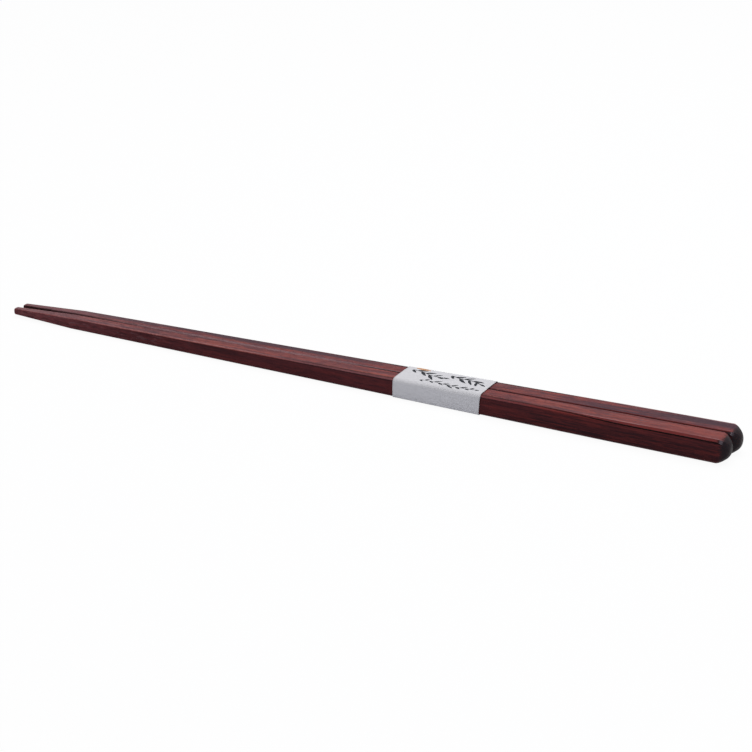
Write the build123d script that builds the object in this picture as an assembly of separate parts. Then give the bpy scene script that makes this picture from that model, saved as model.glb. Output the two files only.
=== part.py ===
# A pair of square wooden chopsticks held side by side by a paper band.
# X runs along the sticks from the tips to the handle ends, +Y to the far stick and +Z up.
# The origin is under the middle of the pair, on the plane that it lies on.

import os
from math import atan2, cos, degrees, pi, sin, tan

from build123d import *

# One stick, with its places measured along it from the tip
length = 235.0
grip_width = 6.58
grip_at = 200.0
# How much wider the stick is where its dome starts than at the grip
butt_swell = 0.32
neck_width = 3.55
neck_at = 22.0
tip_width = 1.9
# The flat that eases each long edge, across one face at the grip
edge_ease = 0.54
# The rounded ends: each rounding's depth along the stick and the width of its flat round crown
dome_depth = 3.2
dome_crown = 1.4
nose_depth = 0.6
nose_crown = 0.5
# Where the outlines that shape a rounding lie, as shares of its quarter turn
turn_shares = (0, 0.2, 0.4, 0.6, 0.8, 1)

# How the two sticks lie: the gaps between their inner faces at the necks and where they all
# but touch, and the far one's lead
neck_gap = 0.75
touch_gap = 0.04
far_lead = 0.65

# The paper band, folded round both sticks and glued to itself underneath
band_at = 134.5
band_width = 27.6
paper = 0.15
# Its slack over the sticks at the edge nearer the tips and at the one nearer the handles
tip_edge_slack = 0.18
handle_edge_slack = 0.2
over_fold_radius = 1.35
under_fold_radius = 0.75
side_bow = 0.1
top_bow = 0.06
flap_width = 8.0

# Worked out from the sizes above
dome_at = length - dome_depth
butt_width = grip_width + butt_swell
flat_share = 1 - 2 * edge_ease / grip_width
pitch = atan2((grip_width - neck_width) / 2, grip_at - neck_at)
neck_spread = (neck_width + neck_gap) / 2
# The sticks close up until their inner faces meet at the grip or where the domes start
splay = max(
    atan2((width + touch_gap) / 2 - neck_spread, place - neck_at)
    for place, width in [(grip_at, grip_width), (dome_at, butt_width)]
)
stick_floor = 2 * paper


def width_at(place):
    """A stick's width across its faces between the neck and the grip."""
    return neck_width + (grip_width - neck_width) * (place - neck_at) / (grip_at - neck_at)


def spread_at(place):
    """The distance from the middle plane of the pair to a stick's axis."""
    return neck_spread + (place - neck_at) * tan(splay)


def stick_outline(place, width, roundness):
    """The outline across a stick, from a square with eased edges at 0 to a circle at 1."""
    ease_share = (1 + flat_share) / 2
    arc_share = cos(pi / 4) / cos(pi / 12)
    # The pull of a face's curve, that curve's end and the pull of the corner's curve
    square_shares = [(1, 0), (1, flat_share), (ease_share, ease_share)]
    circle_shares = [(1 / cos(pi / 6), 0), (cos(pi / 6), sin(pi / 6)), (arc_share, arc_share)]
    face_pull, face_end, corner_pull = [
        (Vector(*square) * (1 - roundness) + Vector(*circle) * roundness) * width / 2
        for square, circle in zip(square_shares, circle_shares)
    ]
    face = Bezier((face_end.X, -face_end.Y), face_pull, face_end)
    corner = Bezier(face_end, corner_pull, (face_end.Y, face_end.X))
    half = face + corner + Rot(Z=90) * (face + corner)
    return Plane(origin=(place, 0, 0), x_dir=(0, 1, 0), z_dir=(1, 0, 0)) * make_face(
        half + Rot(Z=180) * half
    )


def rounded_end(place, width, depth, crown):
    """The rounding past place, where faces and eased edges flow into a round crown."""
    turns = [share * pi / 2 for share in turn_shares]
    return loft(
        [
            stick_outline(
                place + depth * sin(turn), crown + (width - crown) * cos(turn), sin(turn)
            )
            for turn in turns
        ]
    )


def stick():
    """A square stick along X with its tip at zero, eased edges and rounded ends."""
    widths = [
        (nose_depth, tip_width),
        (neck_at, neck_width),
        (grip_at, grip_width),
        (dome_at, butt_width),
    ]
    shank = loft([stick_outline(place, width, 0) for place, width in widths], ruled=True)
    nose = rounded_end(nose_depth, tip_width, -nose_depth, nose_crown)
    dome = rounded_end(dome_at, butt_width, dome_depth, dome_crown)
    return nose + shank + dome


def laid(bar, side, lead):
    """A stick laid with its underside level, on one side of the pair's middle plane."""
    axis_height = width_at(0) / 2
    turned = Rot(Z=side * degrees(splay)) * Rot(Y=-degrees(pitch)) * bar
    return Pos(lead, side * spread_at(0), stick_floor + axis_height) * turned


def band_section(place, slack, inset):
    """The band's outline across the pair, moved in by inset from its outer face."""
    half_breadth = spread_at(place) + width_at(place) / 2 + slack + paper - inset
    bottom = stick_floor - paper + inset
    top = stick_floor + width_at(place) + slack + paper - inset
    middle = (bottom + top) / 2
    right = ThreePointArc(
        (half_breadth, bottom), (half_breadth + side_bow, middle), (half_breadth, top)
    )
    over = ThreePointArc((half_breadth, top), (0, top + top_bow), (-half_breadth, top))
    left = ThreePointArc(
        (-half_breadth, top), (-half_breadth - side_bow, middle), (-half_breadth, bottom)
    )
    under = Line((-half_breadth, bottom), (half_breadth, bottom))
    outline = make_face(right + over + left + under)
    outline = fillet(outline.vertices().group_by(Axis.Y)[-1], over_fold_radius - inset)
    outline = fillet(outline.vertices().group_by(Axis.Y)[0], under_fold_radius - inset)
    return Plane(origin=(place, 0, 0), x_dir=(0, 1, 0), z_dir=(1, 0, 0)) * outline


def band():
    """The paper band, with the flap where its ends are glued over one another."""
    edges = [(band_at, tip_edge_slack), (band_at + band_width, handle_edge_slack)]
    outer = loft([band_section(place, slack, 0) for place, slack in edges], ruled=True)
    inner = loft([band_section(place, slack, paper) for place, slack in edges], ruled=True)
    flap = Pos(band_at + band_width / 2, 0, paper / 2) * Box(band_width, flap_width, paper)
    return outer - inner + flap


bar = stick()
pieces = {
    "chopstick_near": laid(bar, -1, 0),
    "chopstick_far": laid(bar, 1, far_lead),
    "paper_band": band(),
}
middle = Compound(list(pieces.values())).bounding_box().center()

os.makedirs("parts", exist_ok=True)
for name, shape in pieces.items():
    export_step(Pos(-middle.X, -middle.Y, 0) * shape, f"parts/{name}.step")
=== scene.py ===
import math
import random

import bmesh
import bpy
from mathutils import Matrix, Vector, noise


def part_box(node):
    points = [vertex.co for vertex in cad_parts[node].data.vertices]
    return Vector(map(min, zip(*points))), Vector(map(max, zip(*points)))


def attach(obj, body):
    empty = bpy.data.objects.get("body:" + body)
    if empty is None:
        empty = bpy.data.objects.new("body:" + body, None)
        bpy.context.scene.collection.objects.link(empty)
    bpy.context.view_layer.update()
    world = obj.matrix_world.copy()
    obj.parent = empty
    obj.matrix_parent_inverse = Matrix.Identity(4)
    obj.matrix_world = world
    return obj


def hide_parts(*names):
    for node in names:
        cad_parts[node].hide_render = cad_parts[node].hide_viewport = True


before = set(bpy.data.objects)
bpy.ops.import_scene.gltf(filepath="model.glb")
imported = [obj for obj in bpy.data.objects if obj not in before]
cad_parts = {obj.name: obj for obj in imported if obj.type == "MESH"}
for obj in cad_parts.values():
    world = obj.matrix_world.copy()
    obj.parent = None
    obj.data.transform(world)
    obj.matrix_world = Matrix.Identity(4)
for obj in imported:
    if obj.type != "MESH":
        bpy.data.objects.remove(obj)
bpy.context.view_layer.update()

mm = 0.001


# Node wiring

class Wire:
    # a socket that sums can be written with
    def __init__(self, finish, socket):
        self.finish = finish
        self.socket = socket

    def math(self, operation, left, right=0.0):
        return self.finish.node("ShaderNodeMath", {"operation": operation}, {0: left, 1: right})

    def __add__(self, other):
        return self.math("ADD", self, other)

    def __radd__(self, other):
        return self.math("ADD", other, self)

    def __sub__(self, other):
        return self.math("SUBTRACT", self, other)

    def __rsub__(self, other):
        return self.math("SUBTRACT", other, self)

    def __mul__(self, other):
        return self.math("MULTIPLY", self, other)

    def __rmul__(self, other):
        return self.math("MULTIPLY", other, self)

    def __truediv__(self, other):
        return self.math("DIVIDE", self, other)

    def __rtruediv__(self, other):
        return self.math("DIVIDE", other, self)

    def size(self):
        return self.math("ABSOLUTE", self)

    def top(self, other):
        return self.math("MAXIMUM", self, other)

    def low(self, other):
        return self.math("MINIMUM", self, other)

    def step(self, start, end):
        # 0 on start's side and 1 past end, with a soft turn between them
        settings = {"interpolation_type": "SMOOTHSTEP"}
        values = {"Value": self, "From Min": start, "From Max": end}
        return self.finish.node("ShaderNodeMapRange", settings, values)

    def window(self, start, full, fading=None, gone=None):
        # 1 between full and fading and 0 before start and past gone
        share = self.step(start, full)
        return share if gone is None else share * self.step(gone, fading)

    def swing(self):
        # a noise's way above or below its middle
        return self - 0.5


class Finish:
    # the node tree of a material or a world
    def __init__(self, owner):
        owner.use_nodes = True
        self.owner = owner
        self.tree = owner.node_tree
        self.tree.nodes.clear()

    def node(self, kind, settings=None, values=None, output=0):
        made = self.tree.nodes.new(kind)
        for key, value in (settings or {}).items():
            setattr(made, key, value)
        for key, value in (values or {}).items():
            if isinstance(value, Wire):
                self.tree.links.new(value.socket, made.inputs[key])
            else:
                made.inputs[key].default_value = value
        return Wire(self, made.outputs[output]) if len(made.outputs) else None

    def mixColour(self, share, first, second):
        # the Mix node's colours are its sockets 6 and 7, and their mix is its output 2
        values = {0: share, 6: first, 7: second}
        return self.node("ShaderNodeMix", {"data_type": "RGBA"}, values, output=2)

    def split(self, vector):
        parts = self.node("ShaderNodeSeparateXYZ", {}, {0: vector})
        return [Wire(self, socket) for socket in parts.socket.node.outputs]

    def place(self, scale, turn=(0, 0, 0), shift=(0, 0, 0)):
        # Object coordinates in millimetres, turned, then stretched by scale and shifted
        at = self.node("ShaderNodeTexCoord", output="Object")
        turned = self.node("ShaderNodeMapping", {}, {"Vector": at, "Rotation": turn, "Scale": (1 / mm,) * 3})
        return self.node("ShaderNodeMapping", {}, {"Vector": turned, "Location": shift, "Scale": scale})

    def cloud(self, at, detail, rough, warp):
        values = {"Vector": at, "Scale": 1.0, "Detail": detail, "Roughness": rough, "Distortion": warp}
        return self.node("ShaderNodeTexNoise", {}, values)

    def bump(self, height, surface):
        values = {"Strength": surface["bump"], "Distance": surface["bumpDepth"] * mm, "Height": height}
        return self.node("ShaderNodeBump", {}, values)

    def principled(self, values):
        return self.close(self.node("ShaderNodeBsdfPrincipled", {}, values))

    def close(self, shader):
        self.node("ShaderNodeOutputMaterial", {}, {"Surface": shader})
        return self.owner


def colour(red, green, blue):
    return (red, green, blue, 1.0)


# The sticks' wood

wood = {
    "colours": {
        # faces above and below, with long streaks
        "face": colour(0.162, 0.042, 0.047),
        "faceRed": colour(0.262, 0.068, 0.058),
        # mauve is partly the wood's own dark streaks and partly a painted greyish sheen
        "mauve": colour(0.074, 0.034, 0.044),
        "ash": colour(0.190, 0.110, 0.122),
        "strip": colour(0.066, 0.035, 0.046),
        # sides, cut the other way and darker
        "side": colour(0.088, 0.0208, 0.0250),
        "sideRed": colour(0.150, 0.0250, 0.0230),
        "sideDark": colour(0.028, 0.0100, 0.0130),
        # eased edges, pale toward the tips, partly their own colour and partly a painted highlight, and red
        # at the handle
        "edgeTip": colour(0.420, 0.190, 0.185),
        "edgeMiddle": colour(0.195, 0.078, 0.085),
        "edgeHandle": colour(0.160, 0.0260, 0.0245),
        # a painted sheen on the upper edges that face the other stick
        "innerEdgeSheen": colour(0.330, 0.195, 0.210),
        # a black vein that crosses the outer upper edge, and the red wood beside it
        "vein": colour(0.006, 0.0020, 0.0025),
        "veinRed": colour(0.200, 0.0300, 0.0250),
        # a painted highlight along the outer upper edge, and painted shade between the sticks
        "highlightLine": colour(0.360, 0.190, 0.195),
        "grooveShade": colour(0.012, 0.0045, 0.0055),
        # paler colours toward the tips
        "tipFace": colour(0.210, 0.105, 0.115),
        "tipSide": colour(0.200, 0.060, 0.068),
        # end grain, and a painted glint at its upper corners
        "endGrain": colour(0.0070, 0.0048, 0.0078),
        "endFleck": colour(0.045, 0.012, 0.012),
        "endGlint": colour(0.210, 0.170, 0.200),
    },
    # where a stick is measured, in mm from its tip, and how near to it a corner of its mesh counts
    "measuredAt": (22.0, 200.0),
    "measuredWithin": 0.6,
    # stretches in mm from the tip: where each starts and is full, then where it fades and is gone
    "stretches": {
        "tips": (60, 0),
        "tipBlotches": (90, 25),
        "tipGap": (52, 20),
        "shaftShade": (40, 65, 92, 108),
        "calmSide": (75, 100, 145, 165),
        "bandRed": (92, 112, 130, 145),
        "gripRed": (150, 165, 180, 194),
        "handleRed": (170, 205),
        "smudge": (188, 199, 206, 218),
        "endClear": (205, 226),
        "handle": (135, 195),
        "handleFoot": (198, 222),
        "stripInward": (125, 160),
        "stripOutward": (185, 230),
        "stripLost": (112, 138),
        "stripBack": (176, 197),
        "edgeMiddle": (76, 110),
        "innerEdgeSheen": (165, 130),
        "grooveShade": (105, 135),
        "highlightLine": (184, 202),
        "underEdge": (0, 12, 176, 188),
        "vein": (85, 120),
        "veinSwing": (172, 208),
        "veinRedLost": (92, 108),
        "veinRedBack": (168, 192),
    },
    # the grain's noises: waves per mm along, across and up, a turn, detail, roughness and warp
    "grain": {
        "patch": ((0.016, 0.16, 0.16), (0, 0, 0), 2.0, 0.5, 0.4),
        "broad": ((0.022, 0.55, 0.55), (0, 0.004, 0.012), 3.0, 0.55, 0.5),
        "streak": ((0.035, 1.3, 1.3), (0, 0.003, -0.006), 3.0, 0.6, 0.3),
        "lines": ((0.030, 2.1, 2.1), (0, -0.004, 0.008), 2.0, 0.6, 0.2),
        "thread": ((0.050, 3.3, 3.3), (0, 0.006, -0.012), 1.0, 0.5, 0.0),
        "fibre": ((0.10, 5.5, 5.5), (0, 0, 0), 3.0, 0.65, 0.0),
        "pore": ((0.45, 8.0, 8.0), (0, 0, 0), 2.0, 0.5, 0.0),
        "mottle": ((0.9, 2.4, 2.4), (0, 0, 0), 2.0, 0.6, 0.0),
        "blotch": ((0.22, 0.95, 0.95), (0, 0, 0), 3.0, 0.65, 0.6),
        "dots": ((3.0, 4.2, 4.2), (0, 0, 0), 3.0, 0.7, 0.0),
        "drift": ((0.055, 0.45, 0.45), (0, 0, 0), 2.0, 0.5, 0.5),
        "fleck": ((0.32, 1.70, 1.70), (0, 0, 0), 3.0, 0.65, 0.3),
    },
    # layers of grain, each over the one before: the noises that bring it in, with the values that
    # each starts and is full at, its share, what stretches add to that share, and its colour
    "faceLayers": (
        ({"broad": (0.50, 0.64)}, 0.75, {"endClear": -0.75}, "mauve"),
        ({"lines": (0.50, 0.58)}, 0.55, {"endClear": -0.55}, "mauve"),
        ({"streak": (0.45, 0.34)}, 0.55, {"shaftShade": -0.28}, "ash"),
        ({"mottle": (0.50, 0.62)}, 0.20, {}, "ash"),
        ({"drift": (0.50, 0.59)}, 0.38, {"endClear": -0.38}, "mauve"),
        ({"drift": (0.49, 0.40)}, 0.38, {}, "faceRed"),
        ({"blotch": (0.50, 0.59)}, 0.44, {"endClear": -0.44}, "mauve"),
        ({"blotch": (0.49, 0.40)}, 0.42, {}, "faceRed"),
    ),
    "sideLayers": (
        ({}, 0.0, {"calmSide": 0.13}, "sideDark"),
        ({"streak": (0.42, 0.64)}, 0.60, {"handle": -0.25, "calmSide": -0.30}, "sideDark"),
        ({"lines": (0.49, 0.57)}, 0.45, {"handle": 0.40, "calmSide": -0.22}, "sideDark"),
        ({"lines": (0.46, 0.38)}, 0.30, {"handle": 0.30, "handleFoot": -0.46, "calmSide": -0.18}, "sideRed"),
        ({"thread": (0.52, 0.60)}, 0.0, {"handle": 0.60}, "sideDark"),
        ({"thread": (0.47, 0.40)}, 0.0, {"handle": 0.35}, "sideRed"),
        ({"fibre": (0.47, 0.60), "broad": (0.64, 0.42)}, 0.50, {}, "sideRed"),
        ({"fleck": (0.50, 0.62)}, 0.22, {}, "sideDark"),
        ({"fleck": (0.49, 0.37)}, 0.20, {}, "sideRed"),
    ),
    "edgeLayers": (
        ({"mottle": (0.45, 0.62)}, 0.30, {}, "mauve"),
    ),
    "tipLayers": (
        ({"blotch": (0.44, 0.36)}, 0.0, {"tipBlotches": 0.34}, "ash"),
    ),
    "zones": {
        # by how much the surface faces sideways
        "side": (0.80, 0.94),
        # by how much it faces sideways or up and down, whichever is less
        "edge": (0.40, 0.60),
        "endCorner": (0.42, 0.58),
        # by how much it faces out from the pair, and by how much it faces up
        "facingIn": (-0.30, -0.55),
        "facingDown": (-0.30, -0.55),
        # by the height over the stick's middle, in half widths
        "top": (0.5, 0.7),
        "endTop": (0.2, 0.5),
        # by the way out from its middle
        "smudge": (0.3, -0.4),
        "innerEdgeSheen": (-0.55, -0.75),
        "grooveShade": (-0.4, -0.6),
        "highlightLine": (0.5, 0.7),
        # by that height and that way out alike
        "outerCorner": (0.35, 0.55),
    },
    "face": {"redPatch": (0.42, 0.66), "shade": 0.28, "smudge": 0.6, "smudgeBlotch": 0.8},
    # the side's dark at mid height in two stretches, and how much it grows down to the underside
    "sideFoot": {"handle": (0.52, 0.48), "handleFoot": (0.26, 0.12)},
    "edge": {"share": 0.90, "lowerShadeShare": 0.85},
    # where the dark strip lies across the face, how far it moves in and out again, how far it
    # reaches, and where it shows in the broad noise
    "strip": {"at": 0.40, "inward": 1.0, "outward": 0.85, "reach": (0.75, 0.30), "broad": (0.34, 0.48)},
    # how far past the outer upper corner each thing lies, in half widths
    "vein": {
        "above": -0.25,
        "below": 0.225,
        "waver": 0.08,
        "reach": 0.17,
        "narrowing": 0.08,
        "softness": (1.0, 0.5),
        "share": 0.65,
        "swingShare": 0.45,
        "broken": 0.8,
        "redBeside": (0.02, 0.10),
        "redFrom": (-0.05, 0.08),
        "redTo": (0.36, 0.18),
        "redShare": 0.65,
        "underAt": 0.23,
        "underReach": (0.12, 0.06),
        "underShare": 0.60,
    },
    "highlightLine": {"at": -0.22, "reach": (0.10, 0.04), "streak": (0.60, 0.45), "share": 0.60},
    "grooveShade": {"reach": (-0.10, -0.03), "share": 0.85},
    "tips": {
        "share": 0.25,
        "blotchShare": 0.80,
        "darkBlotch": (0.50, 0.60),
        "darkBlotchShare": 0.28,
        "darkBlotchSideShare": 0.26,
        "gapShadeShare": 0.68,
    },
    "pores": {"open": (0.58, 0.66), "share": 0.45, "fibre": (0.55, 0.68), "fibreShare": 0.25},
    # reaches in mm from the end of the stick
    "end": {
        "reach": (2.75, 1.65),
        "ragged": {"fibre": 1.6, "mottle": 0.9, "lines": 1.5},
        "cornerPull": 0.9,
        "glintReach": (2.75, 2.45, 2.00, 1.60),
        "glint": (0.42, 0.58),
        "glintShare": 0.60,
        "fleck": (0.50, 0.64),
        "fleckShare": 0.70,
    },
    "surface": {
        "rough": 0.52,
        "roughStreak": 0.35,
        "roughPore": 0.15,
        "roughEnd": -0.08,
        "specular": 0.035,
        "endCoat": 0.14,
        "coatRough": 0.40,
        "reliefStreak": 0.35,
        "reliefPore": -0.50,
        "reliefEnd": 0.80,
        "bump": 0.30,
        "bumpDepth": 0.05,
    },
}


def stickLines(node):
    # the middle's y and z and the half width, each as its value at x = 0 and its change per mm
    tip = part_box(node)[0].x / mm
    points = [v.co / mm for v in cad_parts[node].data.vertices]
    sizes = []
    for place in wood["measuredAt"]:
        ring = [p for p in points if abs(p.x - tip - place) < wood["measuredWithin"]]
        spans = [(min(p[axis] for p in ring), max(p[axis] for p in ring)) for axis in (1, 2)]
        sizes.append([sum(spans[0]) / 2, sum(spans[1]) / 2, (spans[1][1] - spans[1][0]) / 2])
    start, end = wood["measuredAt"]
    slopes = [(last - first) / (end - start) for first, last in zip(*sizes)]
    return [(value - slope * (tip + start), slope) for value, slope in zip(sizes[0], slopes)]


class StickWood(Finish):
    # the wood of one stick, with places in mm along it and in half widths from its middle
    def __init__(self, name, stick):
        super().__init__(bpy.data.materials.new(name))
        self.stick = stick
        x, y, z = self.split(self.place((1, 1, 1)))
        middleY, middleZ, half = [start + slope * x for start, slope in stickLines(stick["node"])]
        self.outer = (y - middleY) / half * stick["outside"]
        self.rise = (z - middleZ) / half
        # 0 on the outer upper corner, less on the face above and more on the side
        self.past = self.outer - self.rise
        lowest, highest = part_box(stick["node"])
        fromTip = x - lowest.x / mm
        self.toEnd = highest.x / mm - x
        self.at = {place: fromTip.window(*reach) for place, reach in wood["stretches"].items()}
        self.at["endClear"] = self.at["endClear"] * stick["endClear"]
        self.grain = {}
        for cloud, (scale, turn, detail, rough, warp) in wood["grain"].items():
            self.grain[cloud] = self.cloud(self.place(scale, turn, stick["shift"]), detail, rough, warp)
        zones = wood["zones"]
        _, facingY, facingZ = self.split(self.node("ShaderNodeNewGeometry", output="Normal"))
        self.slanted = facingY.size().low(facingZ.size())
        self.onSide = facingY.size().step(*zones["side"])
        self.onEdge = self.slanted.step(*zones["edge"])
        self.onTop = self.rise.step(*zones["top"])
        self.facingIn = (facingY * stick["outside"]).step(*zones["facingIn"])
        self.facingDown = facingZ.step(*zones["facingDown"])

    def outward(self, zone):
        return self.outer.step(*wood["zones"][zone])

    def over(self, base, tint, share):
        # one of the wood's colours laid over what is there
        return self.mixColour(share, base, wood["colours"][tint])

    def blend(self, first, second, share):
        return self.mixColour(share, wood["colours"][first], wood["colours"][second])

    def layered(self, base, layers):
        for clouds, share, changes, tint in layers:
            for stretch, change in changes.items():
                share = share + self.at[stretch] * change
            for cloud, levels in clouds.items():
                share = self.grain[cloud].step(*levels) * share
            base = self.over(base, tint, share)
        return base

    def faceColour(self):
        at, grain, stick, face = self.at, self.grain, self.stick, wood["face"]
        redder = sum(at[stretch] * stick[stretch] for stretch in ("bandRed", "gripRed", "handleRed"))
        red = grain["patch"].step(*face["redPatch"]) + redder + stick["red"]
        body = self.blend("face", "faceRed", red.low(1.0).top(0.0))
        body = self.over(body, "side", at["shaftShade"] * face["shade"])
        smudge = face["smudge"] + grain["blotch"] * face["smudgeBlotch"]
        smudge = smudge * at["smudge"] * self.outward("smudge") * stick["smudge"]
        body = self.over(body, "mauve", smudge)
        return self.withStrip(self.layered(body, wood["faceLayers"]))

    def withStrip(self, body):
        # the dark strip runs along the outside, ends, and comes back from the inside near the handle
        at, strip = self.at, wood["strip"]
        middle = strip["at"] - at["stripInward"] * strip["inward"] + at["stripOutward"] * strip["outward"]
        share = (self.outer - middle).size().step(*strip["reach"]) * (1 - at["stripLost"] + at["stripBack"])
        share = share * self.grain["broad"].step(*strip["broad"]) * self.stick["strips"]
        return self.over(body, "strip", share)

    def sideColour(self):
        # finer red and dark lines, which grow toward the handle
        foot = sum(self.at[stretch] * (share - self.rise * growth)
                   for stretch, (share, growth) in wood["sideFoot"].items())
        return self.layered(self.blend("side", "sideDark", foot.low(1.0)), wood["sideLayers"])

    def edgeColour(self):
        # pale toward the tips, partly a painted highlight
        body = self.blend("edgeTip", "edgeMiddle", self.at["edgeMiddle"])
        body = self.over(body, "edgeHandle", self.at["handle"])
        # painted sheen on the inner upper edges
        body = self.over(body, "innerEdgeSheen", self.outward("innerEdgeSheen") * self.onTop * self.at["innerEdgeSheen"])
        body = self.layered(body, wood["edgeLayers"])
        # painted shade on the edges that face down
        return self.over(body, "sideDark", self.facingDown * wood["edge"]["lowerShadeShare"])

    def withVein(self, body):
        # the vein, with redder wood beside it and a dark line below the edge toward the tips
        at, grain, vein, past = self.at, self.grain, wood["vein"], self.past
        corner = self.outward("outerCorner") * self.rise.step(*wood["zones"]["outerCorner"])
        swung = vein["above"] + at["veinSwing"] * (vein["below"] - vein["above"])
        offset = past - swung - grain["mottle"].swing() * vein["waver"]
        red = offset.step(*vein["redBeside"]) * past.step(*vein["redFrom"]) * past.step(*vein["redTo"])
        redder = (1 - at["veinRedLost"] + at["veinRedBack"]) * vein["redShare"]
        body = self.over(body, "veinRed", red * corner * redder)
        under = (past - vein["underAt"]).size().step(*vein["underReach"]) * corner * at["underEdge"]
        body = self.over(body, "sideDark", under * vein["underShare"])
        strength = at["vein"] * vein["share"] + at["veinSwing"] * vein["swingShare"]
        strength = (strength + grain["streak"].swing() * vein["broken"]).low(1.0).top(0.0)
        reach = vein["reach"] - at["veinSwing"] * vein["narrowing"]
        near = (offset.size() / reach).step(*vein["softness"])
        return self.over(body, "vein", near * corner * strength)

    def withEdges(self, body):
        # a painted highlight line above the outer edge at the handle, and painted shade along the inner one
        at, line, grooveShade = self.at, wood["highlightLine"], wood["grooveShade"]
        lit = (self.past - line["at"]).size().step(*line["reach"]) * self.outward("highlightLine") * self.onTop
        lit = lit * at["highlightLine"] * self.grain["streak"].step(*line["streak"])
        body = self.over(body, "highlightLine", lit * line["share"])
        inward = (0 - self.outer - self.rise).step(*grooveShade["reach"]) * self.outward("grooveShade") * self.onTop
        return self.over(body, "grooveShade", inward * at["grooveShade"] * grooveShade["share"])

    def withTips(self, body):
        # paler and blotched, with painted shade in the gap between them
        at, tips, blotch = self.at, wood["tips"], self.grain["blotch"]
        tipTone = self.blend("tipFace", "tipSide", self.onSide.top(self.onEdge))
        body = self.mixColour(at["tips"] * (tips["share"] + blotch * tips["blotchShare"]), body, tipTone)
        darkBlotch = blotch.step(*tips["darkBlotch"]) * (tips["darkBlotchShare"] + self.onSide * tips["darkBlotchSideShare"])
        body = self.over(body, "sideDark", darkBlotch * at["tipBlotches"])
        body = self.layered(body, wood["tipLayers"])
        return self.over(body, "grooveShade", self.facingIn * at["tipGap"] * tips["gapShadeShare"])

    def withEnd(self, body):
        # end grain over the rounding, with a ragged start, and a painted glint where the upper edges meet it
        grain, end = self.grain, wood["end"]
        endGrain = self.blend("endGrain", "endFleck", grain["dots"].step(*end["fleck"]) * end["fleckShare"])
        ragged = sum(grain[cloud].swing() * reach for cloud, reach in end["ragged"].items())
        corner = self.slanted.step(*wood["zones"]["endCorner"]) * self.rise.step(*wood["zones"]["endTop"])
        self.onEnd = (self.toEnd + ragged - corner * end["cornerPull"]).step(*end["reach"])
        body = self.mixColour(self.onEnd, body, endGrain)
        glint = self.toEnd.window(*end["glintReach"]) * corner * grain["dots"].step(*end["glint"])
        return self.over(body, "endGlint", glint * end["glintShare"])

    def finished(self):
        grain, pores, surface = self.grain, wood["pores"], wood["surface"]
        body = self.mixColour(self.onSide, self.faceColour(), self.sideColour())
        body = self.mixColour(self.onEdge * wood["edge"]["share"], body, self.edgeColour())
        body = self.withTips(self.withEdges(self.withVein(body)))
        pore = grain["pore"].step(*pores["open"])
        dark = pore * pores["share"] + grain["fibre"].step(*pores["fibre"]) * pores["fibreShare"]
        body = self.withEnd(self.over(body, "sideDark", dark))
        rough = surface["rough"] + grain["streak"].swing() * surface["roughStreak"]
        rough = rough + pore * surface["roughPore"] + self.onEnd * surface["roughEnd"]
        relief = (grain["fibre"] + grain["streak"]) * surface["reliefStreak"] + pore * surface["reliefPore"]
        relief = relief + grain["dots"] * self.onEnd * surface["reliefEnd"]
        return self.principled({
            "Base Color": body,
            "Roughness": rough,
            "Specular IOR Level": surface["specular"],
            "Coat Weight": self.onEnd * surface["endCoat"],
            "Coat Roughness": surface["coatRough"],
            "Normal": self.bump(relief, surface),
        })


# outside is the way along y, -1 or 1, that looks away from the other stick, and shift moves the
# grain; the rest says how much of each feature a stick has
sticks = {
    "woodNear": {
        "node": "chopstick_near",
        "outside": -1,
        "shift": (3.0, 11.0, 5.0),
        "red": 0.05,
        "bandRed": 0.62,
        "gripRed": 0.0,
        "handleRed": 0.58,
        "endClear": 0.6,
        "smudge": 0.30,
        "strips": 0.0,
    },
    "woodFar": {
        "node": "chopstick_far",
        "outside": 1,
        "shift": (41.0, 27.0, 19.0),
        "red": -0.15,
        "bandRed": 0.05,
        "gripRed": 0.75,
        "handleRed": -0.10,
        "endClear": 0.0,
        "smudge": 0.0,
        "strips": 0.95,
    },
}

for finishName, stick in sticks.items():
    stickFinish = StickWood(finishName, stick).finished()
    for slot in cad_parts[stick["node"]].material_slots:
        slot.material = stickFinish
print("sticks dressed")


# The paper band

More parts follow.
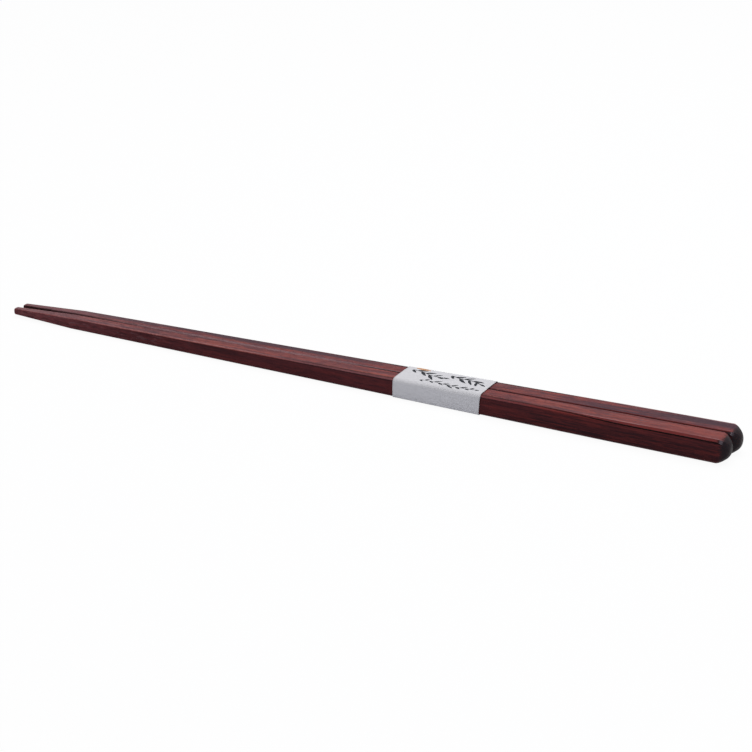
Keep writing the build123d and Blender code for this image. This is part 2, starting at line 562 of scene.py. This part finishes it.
paper = {
    # sizes in mm: the inset keeps the sheet's belly within the solid, and the flap is a little short
    "thickness": 0.15,
    "overFold": 1.35,
    "underFold": 0.75,
    "sideBow": 0.10,
    "topBow": 0.06,
    "belly": 0.06,
    "inset": 0.03,
    "flapWidth": 8.0,
    "flapShort": 0.1,
    # how near to a cut edge a corner of the solid's mesh counts, and how far apart along the band
    # the ends of a lengthwise edge are at least
    "edgeWithin": 0.01,
    "lengthwiseFrom": 1e-6,
    # how far the cut edges wander, in how many waves per mm, and how far one leans in
    "edgeWave": 0.10,
    "edgeRate": 0.35,
    "lean": 0.30,
    # powers that keep this close to the edges, on the band and on its flap
    "edgePower": 6,
    "flapPower": 4,
    # where the edges' and the flap's waves are read in the noise
    "edgeNoiseAt": 3.0,
    "flapNoiseAt": 4.0,
    # the mesh's steps
    "foldSteps": 7,
    "alongSteps": 60,
    "acrossSteps": 30,
    "sideSteps": 12,
    "flapSteps": (48, 8),
    "white": colour(0.640, 0.636, 0.668),
    "grey": colour(0.545, 0.543, 0.578),
    "fleck": colour(0.40, 0.38, 0.37),
    # noises: waves per mm along, across and up, a turn, a shift, detail, roughness and warp
    "noises": {
        "pulp": ((0.9, 1.3, 1.3), (0, 0, 0), (0, 0, 0), 5.0, 0.62, 0.6),
        "fibre": ((1.6, 7.0, 7.0), (0, 0, 0.5), (0, 0, 0), 3.0, 0.6, 1.2),
        "crossFibre": ((6.0, 1.4, 1.4), (0, 0.3, 0.9), (5, 9, 2), 3.0, 0.6, 1.2),
        "speck": ((3.1, 3.4, 3.2), (0, 0, 0), (7, 3, 5), 1.0, 0.4, 0.0),
    },
    # the values at which a noise starts and is full in greying the sheet, with its share, and the
    # share that it has in the relief
    "greying": {
        "pulp": ((0.35, 0.70), 0.50),
        "fibre": ((0.50, 0.70), 0.25),
        "crossFibre": ((0.52, 0.72), 0.25),
    },
    "relief": {"pulp": 0.60, "fibre": 0.25, "crossFibre": 0.25},
    "specks": (0.735, 0.77),
    "speckShare": 0.5,
    "rough": 0.85,
    "roughPulp": 0.10,
    "specular": 0.15,
    "bump": 0.45,
    "bumpDepth": 0.05,
}


def paperFinish():
    f = Finish(bpy.data.materials.new("bandPaper"))
    noises = {}
    for name, (scale, turn, shift, detail, rough, warp) in paper["noises"].items():
        noises[name] = f.cloud(f.place(scale, turn, shift), detail, rough, warp)
    grey = sum(noises[name].step(*levels) * share for name, (levels, share) in paper["greying"].items())
    sheet = f.mixColour(grey, paper["white"], paper["grey"])
    sheet = f.mixColour(noises["speck"].step(*paper["specks"]) * paper["speckShare"], sheet, paper["fleck"])
    relief = sum(noises[name] * height for name, height in paper["relief"].items())
    return f.principled({
        "Base Color": sheet,
        "Roughness": paper["rough"] + noises["pulp"].swing() * paper["roughPulp"],
        "Specular IOR Level": paper["specular"],
        "Normal": f.bump(relief, paper),
    })


def bandSizes():
    # the edges along x, and half the breadth and the height of the band's outside at each, all in mm
    low, high = (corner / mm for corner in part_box("paper_band"))
    points = [v.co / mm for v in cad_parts["paper_band"].data.vertices]
    sizes = []
    for place in (low.x, high.x):
        ring = [p for p in points if abs(p.x - place) < paper["edgeWithin"]]
        breadth = max(p.y for p in ring) - paper["sideBow"]
        sizes.append((breadth, max(p.z for p in ring) - paper["topBow"]))
    return low.x, high.x, sizes


bandFrom, bandTo, ((tipBreadth, tipHeight), (handleBreadth, handleHeight)) = bandSizes()
bandBreadth = (tipBreadth + handleBreadth) / 2
bandHeight = (tipHeight + handleHeight) / 2 - paper["thickness"]


def onBand(x, y, z):
    # where a point of the straight band, from -1 to 1 across and 0 to 1 up, lies on the real one
    share = (x - bandFrom) / (bandTo - bandFrom)
    fromMiddle = 2 * share - 1
    breadth = tipBreadth + (handleBreadth - tipBreadth) * share
    floor = paper["thickness"]
    height = tipHeight + (handleHeight - tipHeight) * share - floor
    swell = 4 * z * (1 - z)
    belly = paper["belly"] * (1 - fromMiddle ** 2) * swell * (1 - z)
    outward = y * (breadth + paper["sideBow"] * swell + belly - paper["inset"])
    up = floor + z * height + paper["topBow"] * (1 - y * y) * z
    # the cut edges wander a little
    readAt = Vector((math.copysign(paper["edgeNoiseAt"] / paper["edgeRate"], fromMiddle), outward, up))
    wander = abs(noise.noise(readAt * paper["edgeRate"])) * paper["edgeWave"]
    wander = wander * abs(fromMiddle) ** paper["edgePower"]
    # and the one nearer the handles leans in toward its lower near corner
    lean = paper["lean"] * max(0.0, fromMiddle) ** paper["edgePower"] * max(0.0, -y) * (1 - z)
    return Vector((x - math.copysign(wander, fromMiddle) - lean, outward, up)) * mm


def makeBand():
    span, breadth, height = bandTo - bandFrom, bandBreadth, bandHeight
    bm = bmesh.new()
    bmesh.ops.create_cube(bm, size=1.0)
    bmesh.ops.scale(bm, vec=(span, 2 * breadth, height), verts=bm.verts)
    bmesh.ops.translate(bm, vec=((bandFrom + bandTo) / 2, 0, height / 2), verts=bm.verts)
    ends = [face for face in bm.faces if abs(face.normal.x) > 0.9]
    bmesh.ops.delete(bm, geom=ends, context="FACES_ONLY")
    for upper, radius in ((True, paper["overFold"]), (False, paper["underFold"])):
        folds = [edge for edge in bm.edges if lengthwise(edge) and (middleOf(edge).z > height / 2) == upper]
        bmesh.ops.bevel(bm, geom=folds, offset=radius, segments=paper["foldSteps"], profile=0.5,
                        affect="EDGES", material=-1)
    rails = [edge for edge in bm.edges if lengthwise(edge)]
    bmesh.ops.subdivide_edges(bm, edges=rails, cuts=paper["alongSteps"], use_grid_fill=True)
    flats = [edge for edge in bm.edges if not lengthwise(edge) and edge.calc_length() > breadth]
    bmesh.ops.subdivide_edges(bm, edges=flats, cuts=paper["acrossSteps"], use_grid_fill=True)
    walls = [edge for edge in bm.edges if not lengthwise(edge) and edge.calc_length() > height / 3]
    bmesh.ops.subdivide_edges(bm, edges=walls, cuts=paper["sideSteps"], use_grid_fill=True)
    for vert in bm.verts:
        vert.co = onBand(vert.co.x, vert.co.y / breadth, vert.co.z / height)
    addFlap(bm)
    bmesh.ops.recalc_face_normals(bm, faces=bm.faces)
    sheet = meshObject("paper_band_sheet", bm)
    thick = sheet.modifiers.new("thickness", "SOLIDIFY")
    thick.thickness = paper["thickness"] * mm
    thick.offset = -1
    return sheet


def lengthwise(edge):
    return abs(edge.verts[0].co.x - edge.verts[1].co.x) > paper["lengthwiseFrom"]


def middleOf(edge):
    return (edge.verts[0].co + edge.verts[1].co) / 2


def addFlap(bm):
    # the end glued on underneath, with its outside facing down
    along, across = paper["flapSteps"]
    made = bmesh.ops.create_grid(bm, x_segments=along, y_segments=across, size=0.5)["verts"]
    middle, span = (bandFrom + bandTo) / 2, bandTo - bandFrom - paper["flapShort"]
    for vert in made:
        x, y = middle + vert.co.x * span, vert.co.y * paper["flapWidth"]
        wave = noise.noise(Vector((x * paper["edgeRate"], y, paper["flapNoiseAt"])))
        wander = wave * paper["edgeWave"] * abs(2 * vert.co.y) ** paper["flapPower"]
        vert.co = Vector((x, y + wander, 0)) * mm
    bmesh.ops.reverse_faces(bm, faces=list({face for vert in made for face in vert.link_faces}))


def meshObject(name, bm):
    mesh = bpy.data.meshes.new(name)
    bm.normal_update()
    bm.to_mesh(mesh)
    bm.free()
    mesh.polygons.foreach_set("use_smooth", [True] * len(mesh.polygons))
    return addObject(name, mesh)


def addObject(name, data):
    made = bpy.data.objects.new(name, data)
    bpy.context.scene.collection.objects.link(made)
    return made


band = makeBand()
band.data.materials.append(paperFinish())
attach(band, "root")
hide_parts("paper_band")
print("band made", len(band.data.polygons))


# Brushed ornament on the band: leafy twigs in ink and a dab of tan

ornament = {
    "steps": 12,
    "hairs": 6,
    "seed": 11,
    "ink": colour(0.012, 0.014, 0.020),
    "dryInk": colour(0.085, 0.088, 0.105),
    "tan": colour(0.52, 0.28, 0.150),
    # each twig from one point of the paper to another, given as x and millimetres across
    "twigs": (
        {"from": (19.0, 2.9), "to": (29.4, 0.4), "wave": 0.4, "leaf": 3.3, "width": 0.95, "leaves": 7},
        {"from": (31.2, 3.4), "to": (41.2, 1.0), "wave": -0.4, "leaf": 3.2, "width": 0.90, "leaves": 7},
        {"from": (24.2, -3.4), "to": (41.4, -3.9), "wave": 0.3, "leaf": 2.2, "width": 0.66, "leaves": 12},
    ),
    "dab": {"x": 19.2, "across": 4.75, "turn": -0.10, "length": 4.8, "width": 1.45, "lift": 0.007},
    "lift": 0.014,
    # a stroke's start and run within a half sine, and the powers that round it
    "strokeShares": (0.03, 0.94),
    "strokePowers": (0.85, 0.8),
    # a twig's waves, in radians over its length, and its stem's strokes as shares of the gap
    # between two leaves and of a leaf's width
    "waves": 7,
    "stemShares": (1.2, 0.38),
    # a leaf's size at the ends of a twig and what the middle adds, and the last leaf's shares
    "leafShares": (0.7, 0.45),
    "lastShares": (0.65, 0.9),
    # the ranges of the draws
    "lengths": (0.8, 1.1),
    "widths": (0.8, 1.15),
    "spreads": (0.5, 1.0),
    "bends": (0.05, 0.25),
    # the hairs' noise, where dry paint shows in it, and the paint's surface
    "hairScale": (1.2, 7.0, 7.0),
    "hairTurn": (0, 0, 0.4),
    "hairNoise": (3.0, 0.7, 0.5),
    "dry": (0.52, 0.74),
    "inkDryShare": 1.0,
    "tanDryShare": 0.6,
    "rough": 0.7,
    "roughHair": 0.2,
    "specular": 0.15,
}


def onPaper(x, across, lift):
    # a point over the band's outside, across millimetres from its middle, measured along the paper
    radius = paper["overFold"]
    flat = bandBreadth - radius
    turn = max(0.0, abs(across) - flat) / radius
    y = math.copysign(min(abs(across), flat) + radius * math.sin(turn), across)
    z = bandHeight - radius * (1 - math.cos(turn))
    outward = Vector((0, math.copysign(math.sin(turn), across), math.cos(turn)))
    return onBand(x, y / bandBreadth, z / bandHeight) + outward * lift * mm


def brush(bm, start, turn, length, width, bend=0.0, lift=ornament["lift"]):
    # one stroke, pointed at both ends, as a sheet that lies on the paper
    along, aside = Vector((math.cos(turn), math.sin(turn))), Vector((-math.sin(turn), math.cos(turn)))
    sheet = bmesh.ops.create_grid(bm, x_segments=ornament["steps"], y_segments=ornament["hairs"], size=0.5)
    first, run = ornament["strokeShares"]
    early, full = ornament["strokePowers"]
    for vert in sheet["verts"]:
        share = vert.co.x + 0.5
        breadth = width * math.sin(math.pi * (first + run * share) ** early) ** full
        middle = start + along * length * share + aside * bend * length * share * share
        vert.co = onPaper(*(middle + aside * breadth * vert.co.y), lift)


def leafyTwig(bm, twig, pick):
    # a wavy stem with leaves on alternate sides and one at its end, smaller toward both ends
    first, last = Vector(twig["from"]), Vector(twig["to"])
    knots = []
    for leaf in range(twig["leaves"] + 1):
        share = leaf / twig["leaves"]
        wave = twig["wave"] * math.sin(ornament["waves"] * share)
        knots.append(first.lerp(last, share) + Vector((0, wave)))
    stemLength, stemWidth = ornament["stemShares"]
    leafLeast, leafMore = ornament["leafShares"]
    lastLength, lastWidth = ornament["lastShares"]
    for leaf, (knot, after) in enumerate(zip(knots, knots[1:])):
        ahead = after - knot
        heading = math.atan2(ahead.y, ahead.x)
        brush(bm, knot, heading, ahead.length * stemLength, twig["width"] * stemWidth)
        side = 1 if leaf % 2 else -1
        size = leafLeast + leafMore * math.sin(math.pi * (leaf + 0.5) / twig["leaves"])
        length = twig["leaf"] * size * pick.uniform(*ornament["lengths"])
        width = twig["width"] * pick.uniform(*ornament["widths"])
        turn = heading + side * pick.uniform(*ornament["spreads"])
        brush(bm, knot, turn, length, width, -side * pick.uniform(*ornament["bends"]))
    brush(bm, knots[-1], heading, twig["leaf"] * lastLength, twig["width"] * lastWidth)


def brushFinish(name, wet, dry, dryShare):
    f = Finish(bpy.data.materials.new(name))
    hair = f.cloud(f.place(ornament["hairScale"], ornament["hairTurn"]), *ornament["hairNoise"])
    return f.principled({
        "Base Color": f.mixColour(hair.step(*ornament["dry"]) * dryShare, wet, dry),
        "Roughness": ornament["rough"] + hair.swing() * ornament["roughHair"],
        "Specular IOR Level": ornament["specular"],
    })


def makeOrnament():
    pick = random.Random(ornament["seed"])
    leaves = bmesh.new()
    for twig in ornament["twigs"]:
        leafyTwig(leaves, twig, pick)
    dab = bmesh.new()
    spot = ornament["dab"]
    start = Vector((spot["x"], spot["across"]))
    brush(dab, start, spot["turn"], spot["length"], spot["width"], lift=spot["lift"])
    inkFinish = brushFinish("ink", ornament["ink"], ornament["dryInk"], ornament["inkDryShare"])
    tanFinish = brushFinish("tan", ornament["tan"], paper["grey"], ornament["tanDryShare"])
    for name, strokes, finish in (("band_leaves", leaves, inkFinish), ("band_dab", dab, tanFinish)):
        piece = meshObject(name, strokes)
        piece.data.materials.append(finish)
        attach(piece, "root")


makeOrnament()
print("ornament brushed")


# Floor, light and camera

stage = {
    "floorSize": 6.0,
    "floorWhite": colour(0.88, 0.89, 0.93),
    "white": colour(1, 1, 1),
    "seenShare": 0.94,
    "skyStrength": 0.20,
    "lamps": {
        "keyLamp": {"place": (0.10, 0.18, 1.0), "size": 0.9, "power": 10.9},
        "fillLamp": {"place": (0.20, -0.95, 0.32), "size": 0.8, "power": 0.52},
    },
}


def seen(f):
    # 1 for what the camera sees, directly, mirrored or through glass
    camera, glossy, through = [
        f.node("ShaderNodeLightPath", output=name)
        for name in ("Is Camera Ray", "Is Glossy Ray", "Is Transmission Ray")
    ]
    return camera.top(glossy).top(through)


def makeFloor():
    bm = bmesh.new()
    bmesh.ops.create_grid(bm, x_segments=1, y_segments=1, size=stage["floorSize"] / 2)
    floor = meshObject("floor", bm)
    f = Finish(bpy.data.materials.new("floorCard"))
    lit = f.node("ShaderNodeBsdfDiffuse", {}, {"Color": stage["floorWhite"]})
    glow = f.node("ShaderNodeEmission", {}, {"Color": stage["white"], "Strength": 1.0})
    share = seen(f) * stage["seenShare"]
    floor.data.materials.append(f.close(f.node("ShaderNodeMixShader", {}, {0: share, 1: lit, 2: glow})))


def makeSky():
    # white where it is seen, and dimmer where it lights
    world = bpy.data.worlds.new("studio")
    bpy.context.scene.world = world
    f = Finish(world)
    strength = seen(f) * (1.0 - stage["skyStrength"]) + stage["skyStrength"]
    sky = f.node("ShaderNodeBackground", {}, {"Color": stage["white"], "Strength": strength})
    f.node("ShaderNodeOutputWorld", {}, {"Surface": sky})


def makeLamp(name, place, size, power):
    lamp = bpy.data.lights.new(name, "AREA")
    lamp.shape = "SQUARE"
    lamp.size = size
    lamp.energy = power
    holder = addObject(name, lamp)
    holder.location = place
    holder.rotation_euler = (-Vector(place)).to_track_quat("-Z", "Y").to_euler()


view = {
    "azimuth": 26.89,
    "elevation": 21.71,
    "roll": 0.68,
    "distance": 0.64278,
    "lens": 105.3,
    "sensor": 36.0,
    "clipStart": 0.01,
    "aim": (0.006376, 0.003868, 0.001421),
}


def makeCamera():
    turn, rise = math.radians(view["azimuth"]), math.radians(view["elevation"])
    back = Vector((math.sin(turn) * math.cos(rise), -math.cos(turn) * math.cos(rise), math.sin(rise)))
    right = Vector((math.cos(turn), math.sin(turn), 0))
    facing = Matrix((right, back.cross(right), back)).transposed().to_4x4()
    lens = bpy.data.cameras.new("camera")
    lens.lens = view["lens"]
    lens.sensor_width = view["sensor"]
    lens.clip_start = view["clipStart"]
    holder = addObject("camera", lens)
    away = Matrix.Translation(Vector(view["aim"]) + back * view["distance"])
    holder.matrix_world = away @ facing @ Matrix.Rotation(math.radians(view["roll"]), 4, "Z")
    bpy.context.scene.camera = holder


makeFloor()
makeSky()
for lampName, lampSizes in stage["lamps"].items():
    makeLamp(lampName, **lampSizes)
makeCamera()
bpy.context.scene.view_settings.view_transform = "Standard"
print("stage set")
